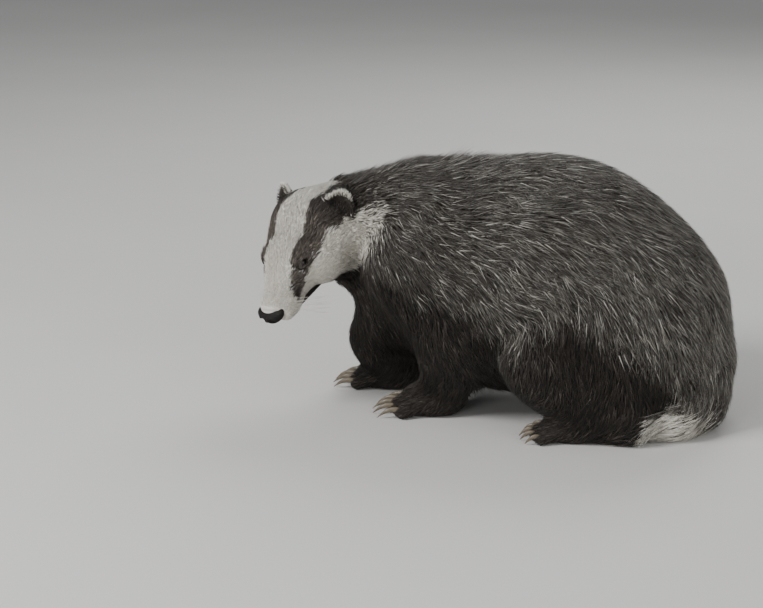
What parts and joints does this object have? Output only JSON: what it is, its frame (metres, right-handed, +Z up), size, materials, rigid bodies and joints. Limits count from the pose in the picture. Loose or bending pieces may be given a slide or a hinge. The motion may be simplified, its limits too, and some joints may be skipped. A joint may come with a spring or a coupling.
{
  "type": "european badger",
  "caption": "Life-size European badger sitting low on its haunches with its head turned and lowered, as a still museum-style model with coat, eyes, nose and claws.",
  "frame": {"origin": "middle of the bounding box at floor level, under the animal", "axes": "+X from the head end to the rump, along the length of the body; +Z up; the animal's left side faces -Y"},
  "size_m": [0.4592, 0.2688, 0.2451],
  "materials": {
    "badger_head_coat": "short coat, striped white and black, matt",
    "badger_ear_coat": "short coat, black with a white rim, matt",
    "badger_body_coat": "long grizzled grey coat, matt",
    "badger_leg_coat": "short black coat, matt",
    "badger_tail_coat": "long pale coat, matt",
    "badger_nose_leather": "damp black skin, satin",
    "badger_eye_surface": "wet black-brown, high gloss"
  },
  "bodies": {
    "root": {"head": "badger_head_coat", "nose": "badger_nose_leather", "ear_left": "badger_ear_coat", "ear_right": "badger_ear_coat", "eye_left": "badger_eye_surface", "eye_right": "badger_eye_surface", "neck": "badger_body_coat", "torso": "badger_body_coat", "tail": "badger_tail_coat", "leg_front_left": "badger_leg_coat", "leg_front_right": "badger_leg_coat", "leg_hind_left": "badger_leg_coat", "leg_hind_right": "badger_leg_coat", "paw_front_left": "badger_leg_coat", "paw_front_right": "badger_leg_coat", "paw_hind_left": "badger_leg_coat", "paw_hind_right": "badger_leg_coat"}
  },
  "joints": []
}
